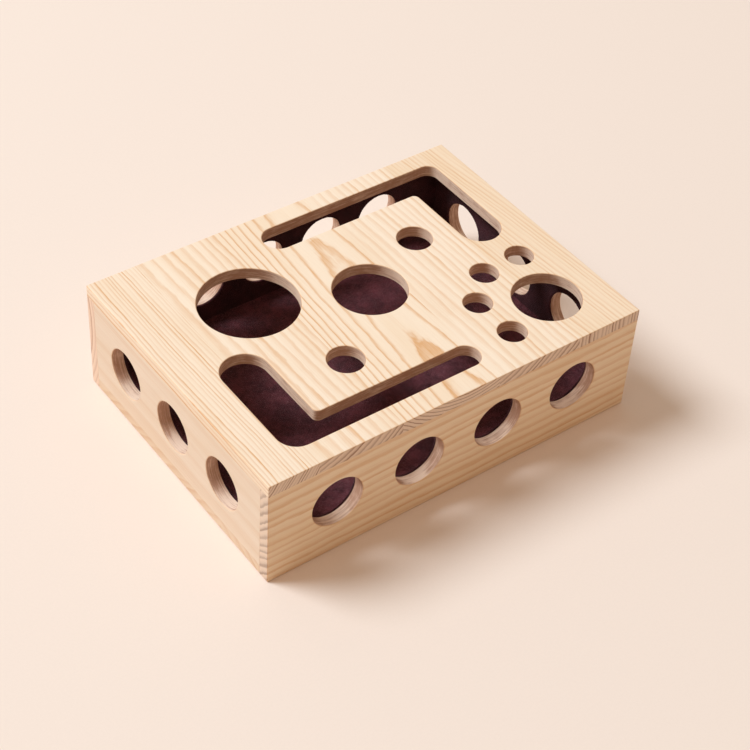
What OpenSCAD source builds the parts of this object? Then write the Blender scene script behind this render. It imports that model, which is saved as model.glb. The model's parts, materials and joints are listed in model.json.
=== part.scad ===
// Puzzle feeder box: a five-board wooden box with treat holes, lined with felt.
// X runs along the length, Y from front to back, Z up. The origin is on the table,
// under the middle of the box.

/* [Overall size] */
// Length of the box, left to right
body_w = 350; // [340:1:420]
// Depth of the box, front to back
body_d = 258; // [250:1:320]
// Height of the box
body_h = 102; // [98:1:120]

/* [Boards] */
// Thickness of the four walls
wall_t = 10.5; // [9.5:0.5:12]
// Thickness of the top board
top_t = 10.5; // [9.5:0.5:12]
// Thickness of the floor board
base_t = 6; // [5:0.5:8]
// Depth of the groove that holds the floor board
groove_depth = 4; // [3:0.5:5]
// Bevel that eases the outside edges and the rims
ease = 0.8; // [0.4:0.1:1.2]

/* [Felt] */
// Thickness of the felt
felt_t = 2; // [1:0.5:3]
// Height of the felt floor above the table
floor_z = 26; // [24:1:27]

/* [Side holes] */
// Height of the hole centres in the front and end walls above the table
side_hole_z = 51; // [50:1:55]
// Diameter of the holes in the front wall
front_hole_d = 45.5; // [30:0.5:46]
// Distance between neighbouring holes in the front wall
front_hole_pitch = 75.5; // [70:0.5:80]
// Number of holes in the front wall
front_hole_count = 4; // [2:1:4]
// Distance from the top edge of the back wall down to its hole centres
back_hole_z = 27.5; // [25.5:1:31.5]
// Diameter of the holes in the back wall
back_hole_d = 40.5; // [30:0.5:42]
// Distance between neighbouring holes in the back wall
back_hole_pitch = 58.5; // [56:0.5:62]
// Number of holes in the back wall
back_hole_count = 4; // [2:1:4]
// Distance that the row of holes in the back wall sits to the right of the wall's middle
back_hole_shift = 12; // [0:1:15]
// Diameter of the holes in the end walls
end_hole_d = 43.5; // [30:0.5:45]
// Distance between neighbouring holes in the end walls
end_hole_pitch = 69.5; // [65:0.5:72]
// Number of holes in each end wall
end_hole_count = 3; // [1:1:3]
// Distance that the row of holes in the left wall sits behind the wall's middle
end_hole_shift = 2.5; // [0:0.5:4]
// Distance that the row of holes in the right wall sits behind the left wall's row
right_hole_shift = 3.5; // [0:0.5:4]

/* [Top holes] */
// Diameter of the big hole at the back left
big_hole_d = 82; // [60:1:88]
// Diameter of the hole near the centre
centre_hole_d = 61; // [45:1:66]
// Diameter of the hole at the front right
right_hole_d = 57; // [45:1:58]
// Diameter of the two middle-sized holes
pair_hole_d = 30; // [24:1:34]
// Diameter of the four small holes
small_hole_d = 24; // [18:1:26]

/* [Slots] */
// Length of the front slot along the box
front_slot_w = 181.5; // [165:0.5:184]
// Length of the front slot from front to back
front_slot_d = 107.5; // [95:0.5:109]
// Width of the front slot's long arm
front_slot_long_arm = 23.5; // [20:0.5:26]
// Width of the front slot's short arm
front_slot_short_arm = 39; // [34:0.5:41]
// Distance from the left edge of the top to the front slot
front_slot_side_margin = 31.5; // [28:0.5:34]
// Distance from the front edge of the top to the front slot
front_slot_edge_margin = 20.5; // [18:0.5:22]
// Corner radius on the outside of the front slot's bend
front_slot_bend_r = 17; // [8:0.5:19]
// Length of the back slot along the box
back_slot_w = 179.5; // [165:0.5:182]
// Length of the back slot from front to back
back_slot_d = 108.5; // [95:0.5:110]
// Width of the back slot's long arm
back_slot_long_arm = 27.5; // [24:0.5:30]
// Width of the back slot's short arm
back_slot_short_arm = 37; // [33:0.5:39]
// Distance from the right edge of the top to the back slot
back_slot_side_margin = 24.5; // [22:0.5:27]
// Distance from the back edge of the top to the back slot
back_slot_edge_margin = 17.5; // [16:0.5:20]
// Corner radius on the outside of the back slot's bend
back_slot_bend_r = 10; // [5:0.5:12]
// Corner radius on the inside of both bends
elbow_r = 5; // [2:0.5:8]

/* [Dowels] */
// Diameter of the dowels
dowel_d = 6; // [5:0.5:6]
// Depth of a dowel in the end or the edge of a wall
dowel_long_depth = 16; // [14:1:18]
// Wood left between a blind hole and the far face of its board
dowel_skin = 3.5; // [3:0.5:5]

/* [Fits] */
// Clearance round a dowel, on the diameter
dowel_clearance = 0.1; // [0:0.05:0.2]
// Room past the end of a dowel, for glue
dowel_end_room = 1; // [0.5:0.5:2]
// Clearance of the floor board in its grooves
groove_clearance = 0.3; // [0.1:0.1:0.5]

/* [Hidden] */
$fn = 96;

// How far a cut runs past the face that it opens
overrun = 1;

// Colours
pine = [0.93, 0.80, 0.62];
pine_shade = [0.86, 0.71, 0.52];
plywood = [0.80, 0.66, 0.48];
plum = [0.27, 0.15, 0.19];
beech = [0.82, 0.63, 0.43];

// Clear inside of the walls, and the height of the walls
inner_w = body_w - 2 * wall_t;
inner_d = body_d - 2 * wall_t;
wall_h = body_h - top_t;

// The floor board lies in a groove at this height, under its felt
base_z = floor_z - felt_t - base_t;

// Rows of side holes, measured from the middle of their wall
function row(count, pitch, shift) = [for (i = [0 : count - 1]) (i - (count - 1) / 2) * pitch + shift];
front_holes = row(front_hole_count, front_hole_pitch, 0);
back_holes = row(back_hole_count, back_hole_pitch, back_hole_shift);
left_holes = row(end_hole_count, end_hole_pitch, end_hole_shift);
right_holes = row(end_hole_count, end_hole_pitch, end_hole_shift + right_hole_shift);

// Top holes, from the middle of the top, as shares of its length and of its depth
big_hole_share = [-0.226, 0.170];
centre_hole_share = [0.029, 0.023];
right_hole_share = [0.351, -0.298];
pair_hole_shares = [[0.223, 0.147], [-0.151, -0.194]];
small_hole_shares = [[0.391, -0.097], [0.283, -0.105], [0.206, -0.205], [0.211, -0.364]];

// The two dowels in a wall's top edge stand clear of its holes: a whole pitch from the middle
// of the row where the number of holes is even, and half a pitch where it is odd
function dowel_pair(count, pitch, shift) =
    let (step = count % 2 == 0 ? pitch : pitch / 2) [shift - step, shift + step];
front_dowel_xs = dowel_pair(front_hole_count, front_hole_pitch, 0);
back_dowel_xs = dowel_pair(back_hole_count, back_hole_pitch, back_hole_shift);
left_dowel_ys = dowel_pair(end_hole_count, end_hole_pitch, end_hole_shift);
right_dowel_ys = dowel_pair(end_hole_count, end_hole_pitch, end_hole_shift + right_hole_shift);
// Dowels in a corner, one below the floor board's groove and one above it
corner_dowel_zs = [base_z / 2, (base_z + base_t + wall_h) / 2];
dowel_short_depth_wall = wall_t - dowel_skin;
dowel_short_depth_top = top_t - dowel_skin;

// Rectangle from the origin, with each corner cut by its own bevel, from the lower left
// corner counterclockwise
module bevelled_rectangle(w, h, cuts) {
    corners = [[0, 0, 1, 1], [w, 0, -1, 1], [w, h, -1, -1], [0, h, 1, -1]];
    points = [
        for (i = [0 : len(corners) - 1])
            let (c = corners[i], cut = cuts[i], along_x = [c[0] + c[2] * cut, c[1]],
                 along_y = [c[0], c[1] + c[3] * cut], odd = i % 2 == 1)
                for (p = cut == 0 ? [[c[0], c[1]]] : odd ? [along_x, along_y] : [along_y, along_x]) p
    ];
    polygon(points);
}

// Profile in X and Z, run along Y from y0 to y0 + length
module run_along_y(y0, length) {
    translate([0, y0 + length, 0])
        rotate([90, 0, 0])
            linear_extrude(length)
                children();
}

// Profile in Y and Z, run along X from x0 to x0 + length
module run_along_x(x0, length) {
    translate([x0, 0, 0])
        rotate([90, 0, 90])
            linear_extrude(length)
                children();
}

// Round through cut up Z, from 0 to its rim at t, with the rim eased
module eased_bore(d, t) {
    translate([0, 0, -overrun])
        cylinder(d = d, h = t + 2 * overrun);
    translate([0, 0, t - ease])
        cylinder(d1 = d, d2 = d + 2 * (ease + overrun), h = ease + overrun);
}

// Eased rim over a straight stretch of slot, in X and Z: as wide as the slot at ease
// below the rim, and wider by the bevel above it
module rim_profile(width, t) {
    spread = ease + overrun;
    polygon([[0, t - ease], [width, t - ease], [width + spread, t + overrun], [-spread, t + overrun]]);
}

// Outline of an L-shaped slot. Its bend is at the origin and its arms run along +X and
// +Y, with round ends
module slot_outline(w, d, long_arm, short_arm, bend_r) {
    translate([bend_r, 0])
        square([w - long_arm / 2 - bend_r, long_arm]);
    translate([w - long_arm / 2, long_arm / 2])
        circle(d = long_arm);
    translate([0, bend_r])
        square([short_arm, d - short_arm / 2 - bend_r]);
    translate([short_arm / 2, d - short_arm / 2])
        circle(d = short_arm);
    translate([bend_r, bend_r])
        circle(r = bend_r);
    difference() {
        translate([short_arm, long_arm])
            square(elbow_r);
        translate([short_arm + elbow_r, long_arm + elbow_r])
            circle(r = elbow_r);
    }
}

// Through cut of an L-shaped slot up Z, from 0 to its rim at t, with the rim eased
module eased_slot(w, d, long_arm, short_arm, bend_r, t) {
    rim_h = ease + overrun;
    translate([0, 0, -overrun])
        linear_extrude(t + 2 * overrun)
            slot_outline(w, d, long_arm, short_arm, bend_r);
    // Straight rims of the two arms
    run_along_x(bend_r, w - long_arm / 2 - bend_r)
        rim_profile(long_arm, t);
    run_along_y(bend_r, d - short_arm / 2 - bend_r)
        rim_profile(short_arm, t);
    // Rims round the two ends and the outside of the bend
    for (end = [[w - long_arm / 2, long_arm / 2, long_arm / 2],
                [short_arm / 2, d - short_arm / 2, short_arm / 2],
                [bend_r, bend_r, bend_r]])
        translate([end[0], end[1], t - ease])
            cylinder(r1 = end[2], r2 = end[2] + rim_h, h = rim_h);
    // Rim round the inside of the bend
    difference() {
        translate([short_arm, long_arm, t - ease])
            cube([elbow_r, elbow_r, rim_h]);
        translate([short_arm + elbow_r, long_arm + elbow_r, t - ease])
            cylinder(r1 = elbow_r, r2 = elbow_r - rim_h, h = rim_h);
    }
}

// Through cuts of the nine round holes in the top
module top_bores(t) {
    for (hole = concat([[big_hole_share, big_hole_d], [centre_hole_share, centre_hole_d],
                        [right_hole_share, right_hole_d]],
                       [for (p = pair_hole_shares) [p, pair_hole_d]],
                       [for (p = small_hole_shares) [p, small_hole_d]]))
        translate([hole[0][0] * body_w, hole[0][1] * body_d, 0])
            eased_bore(hole[1], t);
}

// Blind holes, or the dowels in them, up the walls' top edges into the top
module top_dowel_set(d, below, above) {
    wall_x = (body_w - wall_t) / 2;
    wall_y = (body_d - wall_t) / 2;
    places = concat([for (x = front_dowel_xs) [x, -wall_y]], [for (x = back_dowel_xs) [x, wall_y]],
                    [for (y = left_dowel_ys) [-wall_x, y]], [for (y = right_dowel_ys) [wall_x, y]]);
    for (p = places)
        translate([p[0], p[1], wall_h - below])
            cylinder(d = d, h = below + above);
}

// Blind holes, or the dowels in them, through the corners, along Y
module corner_dowel_set(d, outward, inward) {
    wall_x = (body_w - wall_t) / 2;
    for (x = [-wall_x, wall_x])
        for (side = [-1, 1])
            for (z = corner_dowel_zs)
                translate([x, side * (inner_d / 2 + outward), z])
                    rotate([side * 90, 0, 0])
                        cylinder(d = d, h = outward + inward);
}

module blind_dowel_holes() {
    top_dowel_set(dowel_d + dowel_clearance, dowel_long_depth + dowel_end_room, dowel_short_depth_top);
    corner_dowel_set(dowel_d + dowel_clearance, dowel_short_depth_wall, dowel_long_depth + dowel_end_room);
}

// Top board, over all four walls
module top_panel() {
    color(pine)
        difference() {
            intersection() {
                translate([-body_w / 2, -body_d / 2, wall_h])
                    linear_extrude(top_t)
                        bevelled_rectangle(body_w, body_d, [ease, ease, ease, ease]);
                run_along_y(-body_d / 2, body_d)
                    translate([-body_w / 2, wall_h])
                        bevelled_rectangle(body_w, top_t, [0, 0, ease, ease]);
                run_along_x(-body_w / 2, body_w)
                    translate([-body_d / 2, wall_h])
                        bevelled_rectangle(body_d, top_t, [0, 0, ease, ease]);
            }
            translate([0, 0, wall_h])
                top_bores(top_t);
            translate([front_slot_side_margin - body_w / 2, front_slot_edge_margin - body_d / 2, wall_h])
                eased_slot(front_slot_w, front_slot_d, front_slot_long_arm, front_slot_short_arm,
                           front_slot_bend_r, top_t);
            translate([body_w / 2 - back_slot_side_margin, body_d / 2 - back_slot_edge_margin, wall_h])
                rotate([0, 0, 180])
                    eased_slot(back_slot_w, back_slot_d, back_slot_long_arm, back_slot_short_arm,
                               back_slot_bend_r, top_t);
            blind_dowel_holes();
        }
}

// Front wall in its place, with a row of holes. It covers the ends of the left and right walls
module front_board(holes, hole_d, hole_z) {
    difference() {
        intersection() {
            translate([-body_w / 2, -body_d / 2, 0])
                linear_extrude(wall_h)
                    bevelled_rectangle(body_w, wall_t, [ease, ease, 0, 0]);
            run_along_y(-body_d / 2, wall_t)
                translate([-body_w / 2, 0])
                    bevelled_rectangle(body_w, wall_h, [ease, ease, 0, 0]);
            run_along_x(-body_w / 2, body_w)
                translate([-body_d / 2, 0])
                    bevelled_rectangle(wall_t, wall_h, [ease, 0, 0, 0]);
        }
        for (x = holes)
            translate([x, wall_t - body_d / 2, hole_z])
                rotate([90, 0, 0])
                    eased_bore(hole_d, wall_t);
    }
}

// Left wall in its place, between the front and the back, with a row of holes
module left_board(holes) {
    difference() {
        run_along_y(-inner_d / 2, inner_d)
            translate([-body_w / 2, 0])
                bevelled_rectangle(wall_t, wall_h, [ease, 0, 0, 0]);
        for (y = holes)
            translate([wall_t - body_w / 2, y, side_hole_z])
                rotate([0, -90, 0])
                    eased_bore(end_hole_d, wall_t);
    }
}

// Groove round the inside of the walls, stopped before the ends of the front and back
module floor_groove() {
    groove_w = inner_w + 2 * groove_depth;
    groove_d = inner_d + 2 * groove_depth;
    translate([-groove_w / 2, -groove_d / 2, base_z])
        cube([groove_w, groove_d, base_t + groove_clearance]);
}

// A wall in its place, less the floor board's groove and its dowels' holes
module joined_board() {
    difference() {
        children();
        floor_groove();
        blind_dowel_holes();
    }
}

module front_panel() {
    color(pine_shade)
        joined_board()
            front_board(front_holes, front_hole_d, side_hole_z);
}

module back_panel() {
    color(pine_shade)
        joined_board()
            mirror([0, 1, 0])
                front_board(back_holes, back_hole_d, wall_h - back_hole_z);
}

module left_panel() {
    color(pine)
        joined_board()
            left_board(left_holes);
}

module right_panel() {
    color(pine)
        joined_board()
            mirror([1, 0, 0])
                left_board(right_holes);
}

// Floor board, which rests on the lower faces of the grooves
module base_panel() {
    base_w = inner_w + 2 * (groove_depth - groove_clearance);
    base_d = inner_d + 2 * (groove_depth - groove_clearance);
    color(plywood)
        translate([-base_w / 2, -base_d / 2, base_z])
            cube([base_w, base_d, base_t]);
}

// Felt on the floor board, from wall to wall
module floor_felt() {
    color(plum)
        translate([-inner_w / 2, -inner_d / 2, floor_z - felt_t])
            cube([inner_w, inner_d, felt_t]);
}

// Felt on the inside of the front wall, from corner to corner, with its row of holes
module front_felt(holes, hole_d, hole_z) {
    difference() {
        translate([-inner_w / 2, -inner_d / 2, floor_z])
            cube([inner_w, felt_t, wall_h - floor_z]);
        for (x = holes)
            translate([x, -inner_d / 2 - overrun, hole_z])
                rotate([-90, 0, 0])
                    cylinder(d = hole_d, h = felt_t + 2 * overrun);
    }
}

// Felt on the inside of the left wall, between the front and back linings, with its holes
module left_felt(holes) {
    difference() {
        translate([-inner_w / 2, felt_t - inner_d / 2, floor_z])
            cube([felt_t, inner_d - 2 * felt_t, wall_h - floor_z]);
        for (y = holes)
            translate([-inner_w / 2 - overrun, y, side_hole_z])
                rotate([0, 90, 0])
                    cylinder(d = end_hole_d, h = felt_t + 2 * overrun);
    }
}

module front_lining() {
    color(plum)
        front_felt(front_holes, front_hole_d, side_hole_z);
}

module back_lining() {
    color(plum)
        mirror([0, 1, 0])
            front_felt(back_holes, back_hole_d, wall_h - back_hole_z);
}

module left_lining() {
    color(plum)
        left_felt(left_holes);
}

module right_lining() {
    color(plum)
        mirror([1, 0, 0])
            left_felt(right_holes);
}

// Eight dowels that hold the front and back to the ends
module corner_dowels() {
    color(beech)
        corner_dowel_set(dowel_d, dowel_short_depth_wall, dowel_long_depth);
}

// Eight dowels that hold the top to the walls
module top_dowels() {
    color(beech)
        top_dowel_set(dowel_d, dowel_long_depth, dowel_short_depth_top);
}

top_panel();
front_panel();
back_panel();
left_panel();
right_panel();
base_panel();
floor_felt();
front_lining();
back_lining();
left_lining();
right_lining();
corner_dowels();
top_dowels();
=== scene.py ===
"""Dressed model of a wooden puzzle feeder box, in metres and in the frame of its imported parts.

X runs along the box's length, Y from its front to its back and Z up, with the origin on the
table under the middle of the box. Surface colours are written as 8-bit sRGB, and light as
linear shares.
"""

import json
import logging
import math
from dataclasses import dataclass
from enum import Enum
from functools import cache, partialmethod
from typing import Callable, Sequence

import bmesh
import bpy
from mathutils import Matrix, Quaternion, Vector

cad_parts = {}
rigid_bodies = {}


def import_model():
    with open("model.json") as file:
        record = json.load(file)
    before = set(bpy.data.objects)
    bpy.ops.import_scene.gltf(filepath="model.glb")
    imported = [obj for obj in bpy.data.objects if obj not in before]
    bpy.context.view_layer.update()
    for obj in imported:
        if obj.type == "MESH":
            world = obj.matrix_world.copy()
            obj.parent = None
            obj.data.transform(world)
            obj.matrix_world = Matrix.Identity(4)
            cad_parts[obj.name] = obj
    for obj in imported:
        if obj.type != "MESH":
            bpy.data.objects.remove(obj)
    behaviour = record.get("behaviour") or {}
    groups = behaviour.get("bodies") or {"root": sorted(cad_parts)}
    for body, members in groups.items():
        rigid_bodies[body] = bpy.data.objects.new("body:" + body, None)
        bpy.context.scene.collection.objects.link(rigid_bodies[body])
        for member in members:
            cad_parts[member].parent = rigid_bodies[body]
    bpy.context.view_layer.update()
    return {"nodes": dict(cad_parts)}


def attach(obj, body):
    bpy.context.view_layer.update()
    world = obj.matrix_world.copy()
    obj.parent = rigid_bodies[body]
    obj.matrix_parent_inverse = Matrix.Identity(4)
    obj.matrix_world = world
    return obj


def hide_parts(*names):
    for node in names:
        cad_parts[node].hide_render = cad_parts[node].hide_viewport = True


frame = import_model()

LOG = logging.getLogger("puzzle_feeder")
ROOT_BODY = "root"
MM = 0.001

Colour = tuple[int, int, int]
Triple = tuple[float, float, float]
Linear = tuple[float, float, float, float]
Piece = bpy.types.Object
Material = bpy.types.Material
Socket = bpy.types.NodeSocket
Value = float | Socket


# Sizes and shapes


@dataclass(frozen=True)
class BoxSizes:
    """Sizes that the box's pieces share, in millimetres."""

    length: float = 350
    depth: float = 258
    height: float = 102
    wall: float = 10.5
    top: float = 10.5
    base: float = 6
    base_low: float = 18
    groove_depth: float = 4
    groove_clearance: float = 0.3
    felt: float = 2
    ease: float = 0.9
    dowel: float = 6.1
    dowel_long: float = 17
    dowel_short: float = 7

    @property
    def wall_height(self) -> float:
        """Height of the four walls."""
        return self.height - self.top

    @property
    def inner_length(self) -> float:
        """Clear length between the end walls."""
        return self.length - 2 * self.wall

    @property
    def inner_depth(self) -> float:
        """Clear depth between the front and the back wall."""
        return self.depth - 2 * self.wall

    @property
    def felt_top(self) -> float:
        """Height of the felt floor."""
        return self.base_low + self.base + self.felt


@dataclass(frozen=True)
class RoundHole:
    """A round hole: its centre on its board and its diameter, in millimetres."""

    x: float
    y: float
    diameter: float


@dataclass(frozen=True)
class BentSlot:
    """An L-shaped slot, in millimetres.

    Its bend is at (x, y), and its arms run along X and Y in the direction that facing gives.
    """

    x: float
    y: float
    facing: int
    width: float
    depth: float
    long_arm: float
    short_arm: float
    bend_radius: float
    elbow_radius: float

    def at(self, along: float, across: float) -> tuple[float, float]:
        """Place on the board of a point given from the bend along the slot's own arms."""
        return self.x + self.facing * along, self.y + self.facing * across


BOX = BoxSizes()
FRONT_HOLES = tuple(RoundHole(x, 51, 45.5) for x in (-113.25, -37.75, 37.75, 113.25))
BACK_HOLES = tuple(RoundHole(x, 64, 40.5) for x in (-99.75, -41.25, 17.25, 75.75))
LEFT_HOLES = tuple(RoundHole(x, 51, 43.5) for x in (-72.0, -2.5, 67.0))
RIGHT_HOLES = tuple(RoundHole(x, 51, 43.5) for x in (-63.5, 6.0, 75.5))
TOP_HOLES = tuple(
    RoundHole(x, y, diameter)
    for x, y, diameter in (
        (-79.1, 43.86, 82), (10.15, 5.93, 61), (122.85, -76.88, 57),
        (78.05, 37.93, 30), (-52.85, -50.05, 30),
        (136.85, -25.03, 24), (99.05, -27.09, 24), (72.1, -52.89, 24), (73.85, -93.91, 24),
    )
)
TOP_SLOTS = (
    BentSlot(-143.5, -108.5, 1, 181.5, 107.5, 23.5, 39, 17, 5),
    BentSlot(150.5, 111.5, -1, 179.5, 108.5, 27.5, 37, 10, 5),
)


# Modelling with Blender's operators


class Element(Enum):
    """What an edit selects of a mesh, by Blender's names."""

    POINT = "VERT"
    EDGE = "EDGE"


class Rise(Enum):
    """Which way lumps rise from a sheet, by Blender's names."""

    UP = "Z"
    OUTWARD = "NORMAL"


class Bench:
    """Modelling steps that the pieces share, each done with Blender's own operators."""

    # How far apart two places that count as one may lie, in metres
    SAME_PLACE = 1e-5
    # A round hole's straight sides: their length in millimetres, and the fewest in a quarter
    HOLE_SIDE, QUARTER_SIDES = 2.0, 12
    # The angle between two faces from which on their edge is eased
    SHARP = math.radians(35)

    @staticmethod
    def clear() -> None:
        """Leaves edit mode with nothing selected."""
        if bpy.context.object and bpy.context.object.mode != "OBJECT":
            bpy.ops.object.mode_set(mode="OBJECT")
        bpy.ops.object.select_all(action="DESELECT")

    @classmethod
    def take(cls, piece: Piece) -> None:
        """Leaves edit mode with one piece selected and active.

        Args:
            piece: The object to work on.
        """
        cls.clear()
        piece.select_set(True)
        bpy.context.view_layer.objects.active = piece

    @classmethod
    def open_plane(cls, name: str, width: float, height: float) -> Piece:
        """Adds a centred plane of that size and opens it for editing.

        Args:
            name: The new piece's name.
            width: Its size along X, in metres.
            height: Its size along Y, in metres.

        Returns:
            The new object, in edit mode with its plane selected.
        """
        cls.clear()
        bpy.ops.mesh.primitive_plane_add(size=1)
        piece = bpy.context.object
        piece.name = piece.data.name = name
        bpy.ops.object.mode_set(mode="EDIT")
        bpy.ops.transform.resize(value=(width, height, 1))
        return piece

    @staticmethod
    def select(piece: Piece, kind: Element, wanted: Callable[[Vector], bool]) -> None:
        """Selects the open mesh's vertices or edges by the place of their middle.

        Args:
            piece: The object in edit mode.
            kind: What to select.
            wanted: Says of a middle point whether its element is wanted.
        """
        bpy.ops.mesh.select_mode(type=kind.value)
        bpy.ops.mesh.select_all(action="DESELECT")
        mesh = bmesh.from_edit_mesh(piece.data)
        if kind is Element.POINT:
            middles = [(v, v.co) for v in mesh.verts]
        else:
            middles = [(e, (e.verts[0].co + e.verts[1].co) / 2) for e in mesh.edges]
        for element, middle in middles:
            if wanted(middle):
                element.select = True
        mesh.select_flush_mode()
        bmesh.update_edit_mesh(piece.data)

    @classmethod
    def select_at(cls, piece: Piece, kind: Element, *places: tuple[float, float]) -> None:
        """Selects elements whose middle lies at one of the places in X and Y, in millimetres."""
        targets = [Vector((x * MM, y * MM)) for x, y in places]
        cls.select(piece, kind, lambda p: any((p.xy - t).length < cls.SAME_PLACE for t in targets))

    @classmethod
    def cut_bent_slot(cls, piece: Piece, slot: BentSlot) -> None:
        """Draws a slot's outline in the open mesh, as a square whose sides are drawn out to arms.

        Args:
            piece: The object in edit mode.
            slot: The slot to draw.
        """
        cx, cy = slot.at(slot.short_arm / 2, slot.long_arm / 2)
        bpy.ops.mesh.primitive_plane_add(size=1, location=(cx * MM, cy * MM, 0))
        bpy.ops.transform.resize(value=(slot.short_arm * MM, slot.long_arm * MM, 1))
        arms = (
            (slot.at(slot.short_arm, slot.long_arm / 2), (slot.width - slot.short_arm, 0)),
            (slot.at(slot.short_arm / 2, slot.long_arm), (0, slot.depth - slot.long_arm)),
        )
        for side, (run_x, run_y) in arms:
            cls.select_at(piece, Element.EDGE, side)
            step = (slot.facing * run_x * MM, slot.facing * run_y * MM, 0)
            bpy.ops.mesh.extrude_region_move(TRANSFORM_OT_translate={"value": step})
        bpy.ops.mesh.select_linked()
        bpy.ops.mesh.select_mode(type="FACE")
        bpy.ops.mesh.dissolve_faces()
        corners = (
            ((slot.at(0, 0),), slot.bend_radius, 12),
            ((slot.at(slot.short_arm, slot.long_arm),), slot.elbow_radius, 10),
            ((slot.at(slot.width, 0), slot.at(slot.width, slot.long_arm)), slot.long_arm / 2, 24),
            ((slot.at(0, slot.depth), slot.at(slot.short_arm, slot.depth)), slot.short_arm / 2, 28),
        )
        for places, radius, segments in corners:
            cls.select_at(piece, Element.POINT, *places)
            bpy.ops.mesh.bevel(
                offset=radius * MM, segments=segments, profile=0.5, affect="VERTICES", clamp_overlap=False
            )

    @classmethod
    def board(
        cls, name: str, width: float, height: float, thickness: float,
        holes: Sequence[RoundHole] = (), slots: Sequence[BentSlot] = (),
    ) -> Piece:
        """Saws a flat board with its holes: outlines are drawn, filled and drawn out to a slab.

        Args:
            name: The new piece's name.
            width: Size along X, in millimetres.
            height: Size along Y, in millimetres.
            thickness: Size along Z from 0 up, in millimetres.
            holes: Round holes, placed from the board's middle.
            slots: L-shaped slots, placed from the board's middle.

        Returns:
            The board, in object mode, centred in X and Y.
        """
        piece = cls.open_plane(name, width * MM, height * MM)
        for hole in holes:
            quarter = max(cls.QUARTER_SIDES, round(math.pi * hole.diameter / (4 * cls.HOLE_SIDE)))
            bpy.ops.mesh.primitive_circle_add(
                vertices=4 * quarter, radius=hole.diameter / 2 * MM, location=(hole.x * MM, hole.y * MM, 0)
            )
        for slot in slots:
            cls.cut_bent_slot(piece, slot)
        bpy.ops.mesh.select_mode(type="VERT")
        rise = {"value": (0, 0, thickness * MM)}
        for step, settings in (
            (bpy.ops.mesh.remove_doubles, {"threshold": cls.SAME_PLACE}),
            (bpy.ops.mesh.delete, {"type": "ONLY_FACE"}),
            (bpy.ops.mesh.fill, {"use_beauty": True}),
            (bpy.ops.mesh.extrude_region_move, {"TRANSFORM_OT_translate": rise}),
            (bpy.ops.mesh.normals_make_consistent, {"inside": False}),
        ):
            bpy.ops.mesh.select_all(action="SELECT")
            step(**settings)
        cls.clear()
        return piece

    @classmethod
    def place(cls, piece: Piece, matrix: Matrix) -> None:
        """Moves and turns a finished shape into its place and writes the place into its mesh.

        Args:
            piece: The object to place.
            matrix: Its place in the box.
        """
        cls.take(piece)
        piece.matrix_world = matrix
        bpy.ops.object.transform_apply(location=True, rotation=True, scale=True)

    @classmethod
    def apply(cls, piece: Piece, kind: str, **settings: object) -> None:
        """Adds a modifier with the given settings to a piece and applies it.

        Args:
            piece: The object to change.
            kind: Blender's name for the modifier's type.
            settings: The modifier's properties.
        """
        cls.take(piece)
        modifier = piece.modifiers.new(kind.title(), kind)
        for key, value in settings.items():
            setattr(modifier, key, value)
        bpy.ops.object.modifier_apply(modifier=modifier.name)

    @classmethod
    def ease_edges(cls, piece: Piece, width: float, share: Callable[[Vector, Vector], float]) -> None:
        """Rounds a piece's sharp edges, each by its own share of the width.

        Args:
            piece: The object to change.
            width: The full width of an eased edge, in millimetres.
            share: Gives an edge's share of that width, from its two ends.
        """
        cls.take(piece)
        bpy.ops.object.mode_set(mode="EDIT")
        bpy.ops.mesh.select_mode(type="EDGE")
        mesh = bmesh.from_edit_mesh(piece.data)
        edges = [e for e in mesh.edges if len(e.link_faces) == 2 and e.calc_face_angle(0) > cls.SHARP]
        shares = {e.index: share(e.verts[0].co, e.verts[1].co) for e in edges}
        for level in sorted(set(shares.values()) - {0.0}):
            bpy.ops.mesh.select_all(action="DESELECT")
            mesh = bmesh.from_edit_mesh(piece.data)
            mesh.edges.ensure_lookup_table()
            for index, found in shares.items():
                mesh.edges[index].select = found == level
            mesh.select_flush_mode()
            bmesh.update_edit_mesh(piece.data)
            bpy.ops.transform.edge_bevelweight(value=level)
        cls.apply(
            piece, "BEVEL", limit_method="WEIGHT", width=width * MM, segments=3, profile=0.5,
            use_clamp_overlap=False, loop_slide=False,
        )
        bpy.ops.object.shade_smooth()
        cls.apply(piece, "WEIGHTED_NORMAL", mode="FACE_AREA", weight=90, keep_sharp=False)


# Building materials from nodes


def linear(colour: Colour) -> Linear:
    """Turns an 8-bit sRGB colour into a linear one with full opacity."""
    parts = [c / 255 for c in colour]
    return (*[c / 12.92 if c <= 0.04045 else ((c + 0.055) / 1.055) ** 2.4 for c in parts], 1.0)


class Tone(Enum):
    """Colours of the object and its surroundings, as 8-bit sRGB."""

    PINE_EARLY = (254, 233, 209)
    PINE_LATE = (228, 175, 121)
    PINE_WARM = (244, 232, 214)
    END_EARLY = (243, 216, 192)
    END_LATE = (160, 108, 78)
    END_SOFT = (184, 155, 135)
    SAWN_PALE = (252, 219, 193)
    SAWN_BROWN = (204, 157, 130)
    # Painted shade: a warm darkening laid over the eased edges
    RIM_SHADE = (253, 240, 224)
    PLY_EARLY = (232, 204, 168)
    PLY_LATE = (196, 154, 110)
    BEECH_EARLY = (226, 194, 156)
    BEECH_LATE = (198, 156, 116)
    FELT_DARK = (48, 19, 23)
    FELT_PLUM = (130, 66, 73)
    FELT_LINT = (206, 156, 161)
    FLOOR = (243, 225, 211)
    FLOOR_SPECK = (244, 226, 212)

    @property
    def light(self) -> Linear:
        """The colour as linear light."""
        return linear(self.value)


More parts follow.
